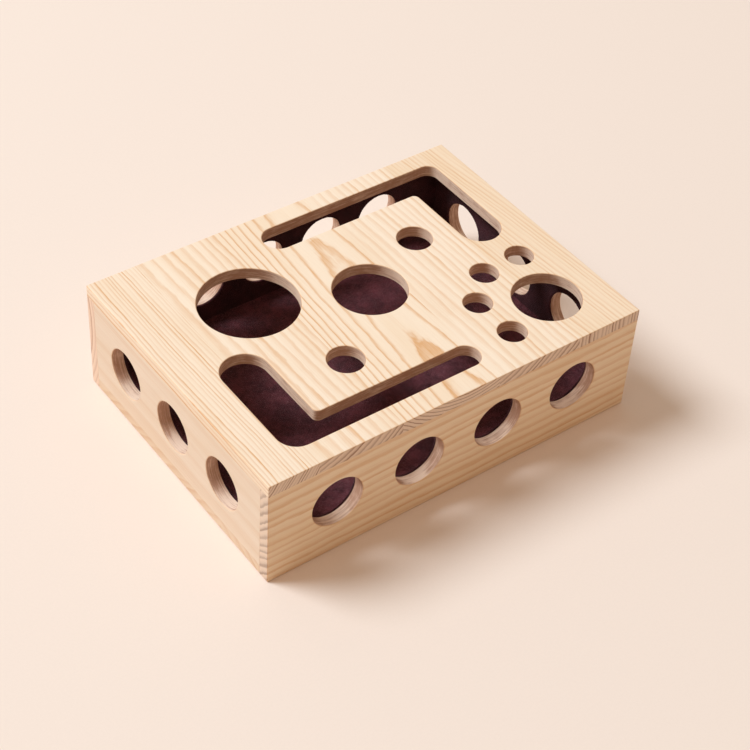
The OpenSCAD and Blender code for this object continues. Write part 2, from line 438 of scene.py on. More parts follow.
class NodeTree:
    """A tree of shader nodes while it is being wired."""

    def __init__(self, tree: bpy.types.NodeTree) -> None:
        """Takes the tree to build in."""
        self.tree = tree

    def put(self, socket: Socket, value: object) -> None:
        """Links a socket into an input, or sets the input to a plain value."""
        if isinstance(value, bpy.types.NodeSocket):
            self.tree.links.new(value, socket)
        else:
            socket.default_value = value

    def node(
        self, kind: str, inputs: dict[str | int, object] | None = None, **settings: object
    ) -> bpy.types.Node:
        """Adds a node.

        Args:
            kind: Blender's name for the node's type.
            inputs: Values or sockets, by the input's name or number.
            settings: The node's properties.

        Returns:
            The new node.
        """
        made = self.tree.nodes.new(kind)
        for key, value in settings.items():
            setattr(made, key, value)
        for key, value in (inputs or {}).items():
            self.put(made.inputs[key], value)
        return made

    def math(self, operation: str, *values: Value, clamp: bool = False) -> Socket:
        """Adds one Math node and returns its value."""
        made = self.node("ShaderNodeMath", dict(enumerate(values)), operation=operation, use_clamp=clamp)
        return made.outputs[0]

    # Sums that take values or sockets
    plus = partialmethod(math, "ADD")
    minus = partialmethod(math, "SUBTRACT")
    times = partialmethod(math, "MULTIPLY")
    times_plus = partialmethod(math, "MULTIPLY_ADD")
    clamped = partialmethod(math, "ADD", 0.0, clamp=True)

    def vector(self, x: Value, y: Value, z: Value) -> Socket:
        """Joins three values to a vector."""
        return self.node("ShaderNodeCombineXYZ", {0: x, 1: y, 2: z}).outputs[0]

    def object_millimetres(self) -> tuple[Socket, Socket, Socket]:
        """Splits the point's place on the object.

        Returns:
            Its X, Y and Z, in millimetres.
        """
        place = self.node("ShaderNodeTexCoord").outputs["Object"]
        scaled = self.node("ShaderNodeVectorMath", {0: place, "Scale": 1 / MM}, operation="SCALE")
        return tuple(self.node("ShaderNodeSeparateXYZ", {0: scaled.outputs[0]}).outputs)

    def noise(
        self, place: Socket, scale: float, detail: float, rough: float = 0.5, twist: float = 0
    ) -> Socket:
        """Adds smooth noise around 0.5 at a place, in cells that are as fine as its scale is high."""
        inputs = {"Vector": place, "Scale": scale, "Detail": detail, "Roughness": rough, "Distortion": twist}
        return self.node("ShaderNodeTexNoise", inputs).outputs[0]

    def ramp(self, value: Value, stops: Sequence[tuple[float, float]]) -> Socket:
        """Maps a value through stops, straight between them.

        Args:
            value: The value to map.
            stops: Each stop's place and height.

        Returns:
            The height at the value.
        """
        made = self.node("ShaderNodeValToRGB", {0: value})
        points = made.color_ramp.elements
        while len(points) < len(stops):
            points.new(0.5)
        for point, (place, height) in zip(points, stops):
            point.position = place
            point.color = (height, height, height, 1)
        return made.outputs[0]

    def blend(self, share: Value, first: object, second: object, how: str = "MIX") -> Socket:
        """Mixes two colours or sockets in Blender's way of that name, by the second's share."""
        inputs = {"Factor": share, 6: first, 7: second}
        return self.node("ShaderNodeMix", inputs, data_type="RGBA", blend_type=how).outputs[2]

    def dyed(self, colour: Socket, dye: object, share: Value = 1.0) -> Socket:
        """Multiplies a colour by another, or by a share of it."""
        return self.blend(share, colour, dye, "MULTIPLY")

    def between(self, value: Value, low: float, high: float, to_low: float, to_high: float) -> Socket:
        """Maps a range of values smoothly onto another, and holds it past the ends."""
        inputs = {0: value, 1: low, 2: high, 3: to_low, 4: to_high}
        return self.node("ShaderNodeMapRange", inputs, interpolation_type="SMOOTHSTEP").outputs[0]


class Graph(NodeTree):
    """A material's node tree while it is being wired."""

    def __init__(self, name: str) -> None:
        """Starts a material with an empty shader and its output.

        Args:
            name: The material's name.
        """
        self.material = bpy.data.materials.new(name)
        self.material.use_nodes = True
        super().__init__(self.material.node_tree)
        self.shader = next(n for n in self.tree.nodes if n.type == "BSDF_PRINCIPLED")

    def finish(
        self, colour: Socket, roughness: Socket, height: Socket, relief: float, **settings: object
    ) -> Material:
        """Wires colour, roughness and relief into the shader.

        Args:
            colour: The surface's colour.
            roughness: Its roughness.
            height: Its relief, from 0 to 1.
            relief: The depth of that relief, in millimetres.
            settings: The shader's other inputs, with underscores for spaces.

        Returns:
            The finished material.
        """
        bump = self.node("ShaderNodeBump", {"Height": height, "Strength": 1.0, "Distance": relief * MM})
        inputs = {"Base Color": colour, "Roughness": roughness, "Normal": bump.outputs[0]}
        inputs.update({name.replace("_", " "): value for name, value in settings.items()})
        for name, value in inputs.items():
            self.put(self.shader.inputs[name], value)
        return self.material


class Axis(Enum):
    """An axis of the box, by its number."""

    X = 0
    Y = 1
    Z = 2


@dataclass(frozen=True)
class Stave:
    """A strip of a board and where it lay in its log, in millimetres.

    The growth rings run round the log's middle, which lies at (middle_across, middle_depth) and
    leans across the board. taper tilts the rings along the grain to both sides of peak, shift
    moves them by a share of a ring, and ripple, sway and years say how unruly they are.
    strength says how clear their dark bands are, keenness how thin, and unevenness how much
    clearer some years are than others.
    """

    starts: float
    middle_across: float
    middle_depth: float
    ring: float
    strength: float
    taper: float = 0.006
    peak: float = -400.0
    lean: float = 0.0
    shift: float = 0.0
    keenness: float = 1.0
    ripple: float = 2.8
    sway: float = 6.0
    years: float = 1.3
    unevenness: float = 0.75
    warmth: float = 0.1


@dataclass(frozen=True)
class Outline:
    """A board's outline in its own plane, in millimetres: its middle across, and its half sizes."""

    half_along: float
    half_across: float
    middle_across: float = 0.0


@dataclass(frozen=True)
class WoodTones:
    """The colours of one kind of wood."""

    early: Tone = Tone.PINE_EARLY
    late: Tone = Tone.PINE_LATE
    warm: Tone = Tone.PINE_WARM
    end_early: Tone = Tone.END_EARLY
    end_late: Tone = Tone.END_LATE
    sawn_pale: Tone = Tone.SAWN_PALE
    sawn_brown: Tone = Tone.SAWN_BROWN


@dataclass(frozen=True)
class WoodFinish:
    """Solid wood: its staves, the colours of its faces, and the tint of its planed ones.

    axes are those along the grain, across the board and through it. Without an outline nothing
    is sawn.
    """

    name: str
    axes: tuple[Axis, Axis, Axis]
    staves: tuple[Stave, ...]
    outline: Outline | None
    tones: WoodTones = WoodTones()
    tint: Colour = (255, 255, 255)
    seed: float = 0.0

    def build(self) -> Material:
        """Wires the material."""
        return WoodGraph(self).build()


class WoodGraph(Graph):
    """A wood's node tree: rings, fibres and end grain all come from one log in space.

    Sawn hole walls are streaked along their rims and brown where they cut across the grain.
    Every eased edge also gets a warm painted shade.
    """

    # Noise as cells per millimetre along, across and through the board, detail, roughness and twist
    SWAY = ((0.006, 0.02, 0.02), 1, 0.7)
    RIPPLE = ((0.032, 0.09, 0.09), 3, 0.7)
    CLOUDS = ((0.006, 0.04, 0.0), 2, 0.5)
    DASHES = ((0.09, 2.2, 1.0), 1, 0.5)
    STREAKS = ((0.014, 0.8, 0.5), 4, 0.7)
    LAYERS = ((0.05, 0.05, 1.0), 4, 0.6, 0.3)
    PATCHES = ((0.11, 0.11, 0.11), 3, 0.5)
    FIBRES = ((0.048, 1.6, 1.6), 3, 0.65)
    PORES = ((2.6, 2.6, 2.6), 2, 0.7)
    # What a range of values is mapped onto: low, high, share at low, share at high
    STREAKS_FADE = (0.3, 0.6, 0.7, 1.1)
    STREAKS_DARKEN = (0.48, 0.75, 0.0, 0.2)
    CLOUDS_WARM = (0.4, 0.7, 0.0, 0.3)
    DASHES_DARKEN = (0.66, 0.8, 0.0, 0.2)
    END_BROWN = (0.3, 0.85, 0.08, 0.83)
    END_CAP = (0.45, 0.95, 0.0, 1.0)
    HOLE_WALL = (0.15, 0.6, 1.0, 0.0)
    # Stops of place and height
    YEAR = ((0.0, 0.0), (0.25, 0.05), (0.5, 0.32), (0.7, 0.9), (0.84, 1.0), (0.94, 0.5), (1.0, 0.0))
    FIBRE_SHADE = ((0.3, 0.955), (0.7, 1.0))
    PORE_SHADE = ((0.3, 0.88), (0.7, 1.0))
    # Where the eased edges get their painted shade, by how far their facing lies between the board's faces
    RIM_SHADE_SHARE = ((0.1, 0.0), (0.35, 1.0), (0.85, 1.0), (0.985, 0.0))
    # Steps that keep the patterns of two staves or two years apart
    STAVE_STEP, YEAR_STEP = 7.3, 0.35
    RIM_MARGIN = 1.2
    # How brown a sawn wall gets from rings, layers and patches
    BROWN_BAND, BROWN_LAYERS, BROWN_PATCHES = 0.18, 3.4, 1.4
    PLAIN_ROUGHNESS, BAND_ROUGHNESS, CUT_ROUGHNESS = 0.62, -0.08, 0.14
    RELIEF, FIBRE_RELIEF, BAND_RELIEF, LAYER_RELIEF = 0.06, 0.5, 0.4, 1.5
    GLOSS = 0.35

    def __init__(self, wood: WoodFinish) -> None:
        """Starts the material with the point's places, its facing, the rings and the fibres.

        Args:
            wood: What the wood is like.
        """
        super().__init__(wood.name)
        self.wood, self.tones = wood, wood.tones
        spot = self.object_millimetres()
        self.place = [spot[a.value] for a in wood.axes]
        normal = self.node("ShaderNodeNewGeometry").outputs["Normal"]
        facing = self.node("ShaderNodeSeparateXYZ", {0: normal}).outputs
        self.end_on, self.face_on = (self.math("ABSOLUTE", facing[a.value]) for a in wood.axes[::2])
        self.band = self.rings()
        self.fibres = self.pattern(*self.FIBRES)
        self.layers = self.pattern(*self.LAYERS)

    def by_stave(self, values: Sequence[float]) -> Value:
        """Steps from one stave's value to the next over the staves' edges.

        Args:
            values: One value for each stave.

        Returns:
            A number for one stave, or a socket.
        """
        total: Value = values[0]
        for before, after, stave in zip(values, values[1:], self.wood.staves[1:]):
            past = self.math("GREATER_THAN", self.place[1], stave.starts)
            total = self.times_plus(past, after - before, total)
        return total

    def pick(self, field_name: str) -> Value:
        """Gives the value that the point's stave has under that name."""
        return self.by_stave([getattr(s, field_name) for s in self.wood.staves])

    def pattern(
        self, cells: Triple, detail: float, rough: float, twist: float = 0, start: Value = 0.0
    ) -> Socket:
        """Adds noise whose cells are stretched along the board, and moved on by start."""
        along, across, depth = [self.times(part, size) for part, size in zip(self.place, cells)]
        return self.noise(self.vector(self.plus(along, start), across, depth), 1.0, detail, rough, twist)

    def unrest(self, value: Value, noise: Socket, field_name: str) -> Socket:
        """Moves a value by noise, as far as the point's stave says under that name."""
        return self.times_plus(self.minus(noise, 0.5), self.pick(field_name), value)

    def rings(self) -> Socket:
        """Builds the growth rings.

        Returns:
            Their dark bands, from 0 to 1.
        """
        along, across, depth = self.place
        number = self.by_stave(range(len(self.wood.staves)))
        start = self.times_plus(number, self.STAVE_STEP, self.wood.seed)
        off = self.minus(across, self.pick("middle_across"))
        off = self.minus(off, self.times(along, self.pick("lean")))
        off = self.unrest(off, self.pattern(*self.SWAY, start=start), "sway")
        deep = self.minus(depth, self.pick("middle_depth"))
        reach = self.math("SQRT", self.times_plus(off, off, self.times(deep, deep)))
        from_peak = self.math("ABSOLUTE", self.minus(along, self.pick("peak")))
        reach = self.times_plus(from_peak, self.pick("taper"), reach)
        reach = self.unrest(reach, self.pattern(*self.RIPPLE, start=start), "ripple")
        count = self.plus(self.math("DIVIDE", reach, self.pick("ring")), self.pick("shift"))
        years = self.vector(self.times(count, self.YEAR_STEP), start, 0.0)
        count = self.unrest(count, self.noise(years, 1.0, 1, 0.7), "years")
        band = self.ramp(self.math("FRACT", count), self.YEAR)
        band = self.math("POWER", band, self.pick("keenness"))
        year = self.plus(self.math("FLOOR", count), number)
        chance = self.node("ShaderNodeTexWhiteNoise", {"W": year}, noise_dimensions="1D").outputs[0]
        faded = self.times(self.minus(1.0, chance), self.pick("unevenness"))
        return self.times(band, self.minus(1.0, faded))

    def planed(self) -> Socket:
        """Colours the planed faces.

        Returns:
            Their colour.
        """
        seed = self.wood.seed
        clouds, streaks = (self.pattern(*kind, start=seed) for kind in (self.CLOUDS, self.STREAKS))
        strength = self.times(self.pick("strength"), self.between(streaks, *self.STREAKS_FADE))
        dark = self.times_plus(self.band, strength, self.between(streaks, *self.STREAKS_DARKEN))
        colour = self.blend(self.clamped(dark), self.tones.early.light, self.tones.late.light)
        warmth = self.plus(self.pick("warmth"), self.between(clouds, *self.CLOUDS_WARM))
        colour = self.dyed(colour, self.tones.warm.light, self.clamped(warmth))
        dashes = self.between(self.pattern(*self.DASHES), *self.DASHES_DARKEN)
        colour = self.blend(dashes, colour, self.tones.late.light)
        colour = self.dyed(colour, self.ramp(self.fibres, self.FIBRE_SHADE))
        return self.dyed(colour, linear(self.wood.tint))

    def sawn(self) -> Socket:
        """Colours the sawn walls of holes and slots: brown where they cut across the grain.

        Returns:
            Their colour.
        """
        patches = self.pattern(*self.PATCHES)
        brown = self.times_plus(self.band, self.BROWN_BAND, self.between(self.end_on, *self.END_BROWN))
        for noise, weight in ((self.layers, self.BROWN_LAYERS), (patches, self.BROWN_PATCHES)):
            brown = self.times_plus(self.minus(noise, 0.5), weight, brown)
        return self.blend(self.clamped(brown), self.tones.sawn_pale.light, self.tones.sawn_brown.light)

    def inside(self) -> Value:
        """Tells the board's inner area from a thin margin along its outline.

        Returns:
            1 inside and 0 in the margin, or 0 for a board with no sawn walls.
        """
        outline = self.wood.outline
        if outline is None:
            return 0.0
        off = self.minus(self.place[1], outline.middle_across)
        limits = ((self.place[0], outline.half_along), (off, outline.half_across))
        shares = [
            self.math("LESS_THAN", self.math("ABSOLUTE", value), half - self.RIM_MARGIN)
            for value, half in limits
        ]
        return self.times(*shares)

    def build(self) -> Material:
        """Puts the faces together.

        Returns:
            The finished material.
        """
        end_cap = self.blend(self.clamped(self.band), self.tones.end_early.light, self.tones.end_late.light)
        end_share = self.between(self.end_on, *self.END_CAP)
        colour = self.blend(end_share, self.planed(), end_cap)
        saw_share = self.times(self.inside(), self.between(self.face_on, *self.HOLE_WALL))
        colour = self.blend(saw_share, colour, self.sawn())
        rough_cut = self.math("MAXIMUM", end_share, saw_share)
        colour = self.dyed(colour, self.ramp(self.pattern(*self.PORES), self.PORE_SHADE), rough_cut)
        # Painted shade along the eased edges, in place of the shade line that falls on the rims
        colour = self.dyed(colour, Tone.RIM_SHADE.light, self.ramp(self.face_on, self.RIM_SHADE_SHARE))
        roughness = self.times_plus(self.band, self.BAND_ROUGHNESS, self.PLAIN_ROUGHNESS)
        roughness = self.times_plus(rough_cut, self.CUT_ROUGHNESS, roughness)
        relief = self.times_plus(self.fibres, self.FIBRE_RELIEF, self.times(self.band, self.BAND_RELIEF))
        relief = self.times_plus(self.times(self.layers, saw_share), self.LAYER_RELIEF, relief)
        return self.finish(colour, roughness, relief, self.RELIEF, Specular_IOR_Level=self.GLOSS)


@dataclass(frozen=True)
class FeltFinish:
    """Pressed felt: matted fibres, mottled colour and lint."""

    # Noise as scale, detail, roughness and twist
    MOTTLE = (0.05, 6, 0.75)
    MAT = (1.3, 5, 0.75, 2.5)
    LINT = (0.9, 4, 0.7, 4.0)
    # What a range of values is mapped onto: low, high, share at low, share at high
    BODY_SHARE = (0.43, 0.69, 0.0, 1.0)
    LINT_SHARE = (0.57, 0.67, 0.0, 0.7)
    MOTTLE_WEIGHT, MAT_WEIGHT, MAT_ROUGHNESS = 0.5, 0.6, -0.1
    RELIEF = 0.5

    name: str
    # Multiplies the colour; a darker tint gives a painted-shade copy of the same felt
    tint: Colour = (255, 255, 255)

    def build(self) -> Material:
        """Wires the material.

        Returns:
            The finished material.
        """
        graph = Graph(self.name)
        place = graph.vector(*graph.object_millimetres())
        mottle, mat, lint = (graph.noise(place, *kind) for kind in (self.MOTTLE, self.MAT, self.LINT))
        body = graph.times_plus(mottle, self.MOTTLE_WEIGHT, graph.times(mat, self.MAT_WEIGHT))
        body_share = graph.between(body, *self.BODY_SHARE)
        colour = graph.blend(body_share, Tone.FELT_DARK.light, Tone.FELT_PLUM.light)
        colour = graph.blend(graph.between(lint, *self.LINT_SHARE), colour, Tone.FELT_LINT.light)
        # The tint: on the wall linings this is painted shade, darker than the floor felt of the same cloth
        colour = graph.dyed(colour, linear(self.tint))
        return graph.finish(
            colour, graph.times_plus(mat, self.MAT_ROUGHNESS, 1.0), mat, self.RELIEF,
            Specular_IOR_Level=0.15, Sheen_Weight=0.35, Sheen_Roughness=0.5,
            Sheen_Tint=Tone.FELT_LINT.light,
        )


@dataclass(frozen=True)
class FloorFinish:
    """Plain pale paper."""

    GRAIN = (0.5, 3)
    SPECK_SHARE = (0.35, 0.65, 0.0, 1.0)
    PLAIN_ROUGHNESS, GRAIN_ROUGHNESS = 0.9, 0.05
    RELIEF = 0.02

    name: str

    def build(self) -> Material:
        """Wires the material.

        Returns:
            The finished material.
        """
        graph = Graph(self.name)
        x, y, _ = graph.object_millimetres()
        grain = graph.noise(graph.vector(x, y, 0.0), *self.GRAIN)
        specks = graph.between(grain, *self.SPECK_SHARE)
        colour = graph.blend(specks, Tone.FLOOR.light, Tone.FLOOR_SPECK.light)
        roughness = graph.times_plus(grain, self.GRAIN_ROUGHNESS, self.PLAIN_ROUGHNESS)
        return graph.finish(colour, roughness, grain, self.RELIEF, Specular_IOR_Level=0.1)


Finish = WoodFinish | FeltFinish

# Pine panel glued up from five staves, with its grain from front to back
TOP_PINE = WoodFinish(
    "pine_top",
    (Axis.Y, Axis.X, Axis.Z),
    (
        Stave(-175, -283, 177, 2.75, 1.0, keenness=1.3, ripple=1.8, unevenness=0.85, warmth=0.15),
        Stave(-131, -166, 198, 5.0, 0.78, taper=0.01, ripple=3.4, unevenness=0.7),
        Stave(
            -57, 6, 172, 3.4, 0.95, taper=0.0225, lean=0.01, shift=1.1, keenness=3.6, ripple=1.5,
            sway=2.0, years=0.3, unevenness=0.3, warmth=0.2,
        ),
        Stave(34, 0, 176, 4.8, 0.68, unevenness=0.7, warmth=0.05),
        Stave(113, 300, 102, 4.0, 0.6, taper=-0.065, keenness=1.2, ripple=1.8, unevenness=0.8, warmth=0.5),
    ),
    Outline(BOX.depth / 2, BOX.length / 2),
    seed=2.0,
)
LONG_WALL_AXES = (Axis.X, Axis.Z, Axis.Y)
LONG_WALL_OUTLINE = Outline(BOX.length / 2, BOX.wall_height / 2, BOX.wall_height / 2)
# Pine board with its grain along the box, its log's middle above and behind it
FRONT_PINE = WoodFinish(
    "pine_front",
    LONG_WALL_AXES,
    (Stave(0, 210, 36, 6.0, 0.65, taper=0.01, ripple=3.4, sway=9.0, unevenness=0.4, warmth=0.2),),
    LONG_WALL_OUTLINE,
    WoodTones(end_late=Tone.END_SOFT),
    (253, 250, 242),
    3.0,
)
# Pine board with its grain along the box, cut flat from its log's far side
BACK_PINE = WoodFinish(
    "pine_back",
    LONG_WALL_AXES,
    (Stave(0, 64, 246, 5.0, 0.6, taper=0.03, keenness=1.4, ripple=1.6, sway=8.0),),
    LONG_WALL_OUTLINE,
    WoodTones(end_early=Tone.SAWN_PALE, end_late=Tone.SAWN_BROWN),
    (253, 250, 246),
    17.0,
)
# Pale pine boards with their grain from front to back, each over a strip with steeper rings
LEFT_PINE, RIGHT_PINE = (
    WoodFinish(
        name,
        (Axis.Y, Axis.Z, Axis.X),
        (
            Stave(
                0, -110, side * 60, 7.0, 0.45, taper=0.42, peak=-65, keenness=0.9, ripple=4.0, years=2.0,
                unevenness=0.5, warmth=0.5,
            ),
            Stave(10, -60, side * 250, 13, 0.22, ripple=3.4, warmth=0.05),
        ),
        Outline(BOX.inner_depth / 2, BOX.wall_height / 2, BOX.wall_height / 2),
        tint=(245, 243, 243),
        seed=seed,
    )
    for name, side, seed in (("pine_left", -1, 5.0), ("pine_right", 1, 11.0))
)
# Rotary-cut veneer with its grain along the box
PLYWOOD = WoodFinish(
    "plywood",
    (Axis.X, Axis.Y, Axis.Z),
    (Stave(0, 20, 140, 1.6, 0.7, taper=0.03, warmth=0.2),),
    None,
    WoodTones(Tone.PLY_EARLY, Tone.PLY_LATE, Tone.PINE_WARM, Tone.PLY_LATE, Tone.PLY_LATE),
    seed=9.0,
)
# Plain dowel wood, by the node that it dresses
BEECH = {
    node: WoodFinish(
        f"beech_{node}",
        axes,
        (Stave(0, 40, 60, 1.4, 0.4, warmth=0.0),),
        None,
        WoodTones(Tone.BEECH_EARLY, Tone.BEECH_LATE, Tone.PINE_WARM, Tone.BEECH_EARLY, Tone.BEECH_LATE),
        seed=4.0,
    )
    for node, axes in (
        ("corner_dowels", (Axis.Y, Axis.X, Axis.Z)),
        ("top_dowels", (Axis.Z, Axis.X, Axis.Y)),
    )
}


# Pieces of the box


@cache
def material_of(finish: Finish) -> Material:
    """Builds a finish's material, once for all the pieces that share it."""
    return finish.build()


def dress(piece: Piece, finish: Finish) -> None:
    """Gives a piece one finish in place of any that it has."""
    piece.data.materials.clear()
    piece.data.materials.append(material_of(finish))


def hand_over(piece: Piece, node: str, finish: Finish) -> None:
    """Dresses a piece, sets it on the box's body and hides the node it stands for.

    Args:
        piece: The finished object.
        node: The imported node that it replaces.
        finish: Its finish.
    """
    dress(piece, finish)
    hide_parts(node)
    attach(piece, ROOT_BODY)
    LOG.info("%s: %d faces, stands for %s", piece.name, len(piece.data.polygons), node)


@dataclass
class Joinery:
    """The dowels, and the hidden cuts: their blind holes and the floor board's groove."""

    sizes: BoxSizes = BOX
    front_dowel_xs: tuple[float, ...] = (-75.5, 75.5)
    back_dowel_xs: tuple[float, ...] = (-46.5, 70.5)
    left_dowel_ys: tuple[float, ...] = (-32.25, 37.25)
    right_dowel_ys: tuple[float, ...] = (-28.75, 40.75)
    corner_dowel_zs: tuple[float, ...] = (9.0, 57.75)

    def bore(self, start: Vector, end: Vector) -> None:
        """Adds one dowel hole to the open cutter.

        Args:
            start: One end of the hole's axis, in millimetres.
            end: Its other end.
        """
        run = end - start
        turn = run.to_track_quat("Z", "Y").to_euler()
        bpy.ops.mesh.primitive_cylinder_add(
            vertices=24, radius=self.sizes.dowel / 2 * MM, depth=run.length * MM,
            location=(start + end) / 2 * MM, rotation=turn,
        )

    def cutter(self) -> Piece:
        """Makes one object of all the hidden cuts.

        Returns:
            The cutter, in object mode.
        """
        s = self.sizes
        Bench.clear()
        bpy.ops.mesh.primitive_cube_add(size=1)
        tool = bpy.context.object
        tool.name = "joinery_cutter"
        bpy.ops.object.mode_set(mode="EDIT")
        groove_height = s.base + s.groove_clearance
        sides = (s.inner_length + 2 * s.groove_depth, s.inner_depth + 2 * s.groove_depth, groove_height)
        bpy.ops.transform.resize(value=[side * MM for side in sides])
        bpy.ops.transform.translate(value=(0, 0, (s.base_low + groove_height / 2) * MM))
        wall_x, wall_y = (s.length - s.wall) / 2, (s.depth - s.wall) / 2
        low, high = s.wall_height - s.dowel_long, s.wall_height + s.dowel_short
        outer, inner = s.inner_depth / 2 + s.dowel_short, s.inner_depth / 2 - s.dowel_long
        corners = [(x, z) for x in (-wall_x, wall_x) for z in self.corner_dowel_zs]
        for side, xs, ys in (
            (-1, self.front_dowel_xs, self.left_dowel_ys),
            (1, self.back_dowel_xs, self.right_dowel_ys),
        ):
            ends = [((x, side * wall_y, low), (x, side * wall_y, high)) for x in xs]
            ends += [((side * wall_x, y, low), (side * wall_x, y, high)) for y in ys]
            ends += [((x, side * outer, z), (x, side * inner, z)) for x, z in corners]
            for start, end in ends:
                self.bore(Vector(start), Vector(end))
        Bench.clear()
        return tool

    @staticmethod
    def dress_dowels() -> None:
        """Gives the dowels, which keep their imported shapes, a plain wood finish."""
        for node, wood in BEECH.items():
            dress(frame["nodes"][node], wood)
            LOG.info("%s: packed shape kept", node)


@dataclass
class TopBoard:
    """The box's top: a glued-up pine board with nine round holes and two bent slots."""

    sizes: BoxSizes = BOX
    holes: tuple[RoundHole, ...] = TOP_HOLES
    slots: tuple[BentSlot, ...] = TOP_SLOTS
    joint_share: float = 0.2

    def ease_share(self, a: Vector, b: Vector) -> float:
        """Eases the upper face's edges and the corners in full, and the lower ones by a touch.

        Args:
            a: One end of the edge.
            b: Its other end.

        Returns:
            The edge's share of the full ease.
        """
        low = self.sizes.wall_height * MM + Bench.SAME_PLACE
        high = self.sizes.height * MM - Bench.SAME_PLACE
        if a.z > high and b.z > high:
            return 1.0
        at_corner = all(abs(p.x) > self.sizes.length / 2 * MM - Bench.SAME_PLACE for p in (a, b))
        if abs(a.z - b.z) > Bench.SAME_PLACE:
            return 1.0 if at_corner else 0.0
        return self.joint_share if a.z < low else 0.0

    def build(self, cutter: Piece) -> None:
        """Saws, drills, eases and dresses the board.

        Args:
            cutter: The hidden cuts.
        """
        s = self.sizes
        piece = Bench.board("top_board", s.length, s.depth, s.top, self.holes, self.slots)
        Bench.place(piece, Matrix.Translation((0, 0, s.wall_height * MM)))
        Bench.apply(piece, "BOOLEAN", operation="DIFFERENCE", object=cutter, solver="EXACT")
        Bench.ease_edges(piece, s.ease, self.ease_share)
        hand_over(piece, "top_panel", TOP_PINE)


@dataclass
class Wall:
    """One of the four walls, with its row of round holes.

    The holes are placed along the wall from left to right as seen from outside.
    """

    name: str
    node: str
    lining: str
    turn: float
    width: float
    reach: float
    holes: tuple[RoundHole, ...]
    wood: WoodFinish
    ends_show: bool
    sizes: BoxSizes = BOX
    joint_share: float = 0.2

    @property
    def matrix(self) -> Matrix:
        """Where the wall stands, with its outer face away from the box.

        Returns:
            Its place, from a board that lies flat about the origin.
        """
        turned = Matrix.Rotation(self.turn, 4, "Z") @ Matrix.Rotation(math.radians(90), 4, "X")
        outward = turned.to_3x3() @ Vector((0, 0, 1))
        moved = Matrix.Translation(outward * (self.reach - self.sizes.wall) * MM)
        return moved @ turned @ Matrix.Translation((0, self.sizes.wall_height / 2 * MM, 0))

    def ease_share(self, a: Vector, b: Vector) -> float:
        """Eases the edges that show in full, and those that meet another board by a touch.

        Args:
            a: One end of the edge.
            b: Its other end.

        Returns:
            The edge's share of the full ease.
        """
        back = self.matrix.inverted()
        a, b = back @ a, back @ b
        near = 2 * Bench.SAME_PLACE
        outer = self.sizes.wall * MM - near
        half_w, half_h = self.width / 2 * MM - near, self.sizes.wall_height / 2 * MM - near
        on_outer = a.z > outer and b.z > outer
        on_top = a.y > half_h and b.y > half_h
        on_foot = a.y < -half_h and b.y < -half_h
        on_end = any(side * a.x > half_w and side * b.x > half_w for side in (-1, 1))
        if on_top or (on_end and not self.ends_show):
            return self.joint_share
        if on_outer or (on_foot and on_end):
            return 1.0
        if on_end or on_foot or (a.z < near and b.z < near):
            return self.joint_share
        return 0.0

    def build(self, cutter: Piece) -> None:
        """Saws, drills, sets up, joins, eases and dresses the wall.

        Args:
            cutter: The hidden cuts.
        """
        s = self.sizes
        holes = [RoundHole(h.x, h.y - s.wall_height / 2, h.diameter) for h in self.holes]
        piece = Bench.board(self.name, self.width, s.wall_height, s.wall, holes)
        Bench.place(piece, self.matrix)
        Bench.apply(piece, "BOOLEAN", operation="DIFFERENCE", object=cutter, solver="EXACT")
        Bench.ease_edges(piece, s.ease, self.ease_share)
        hand_over(piece, self.node, self.wood)


@dataclass
class FloorBoard:
    """The plywood floor board, let into the walls' grooves."""

    sizes: BoxSizes = BOX
    ease: float = 0.3

    def build(self) -> None:
        """Saws, eases and dresses the board."""
        s = self.sizes
        grown = 2 * (s.groove_depth - s.groove_clearance)
        piece = Bench.board("floor_board", s.inner_length + grown, s.inner_depth + grown, s.base)
        Bench.place(piece, Matrix.Translation((0, 0, s.base_low * MM)))
        Bench.ease_edges(piece, self.ease, lambda a, b: 1.0)
        hand_over(piece, "base_panel", PLYWOOD)


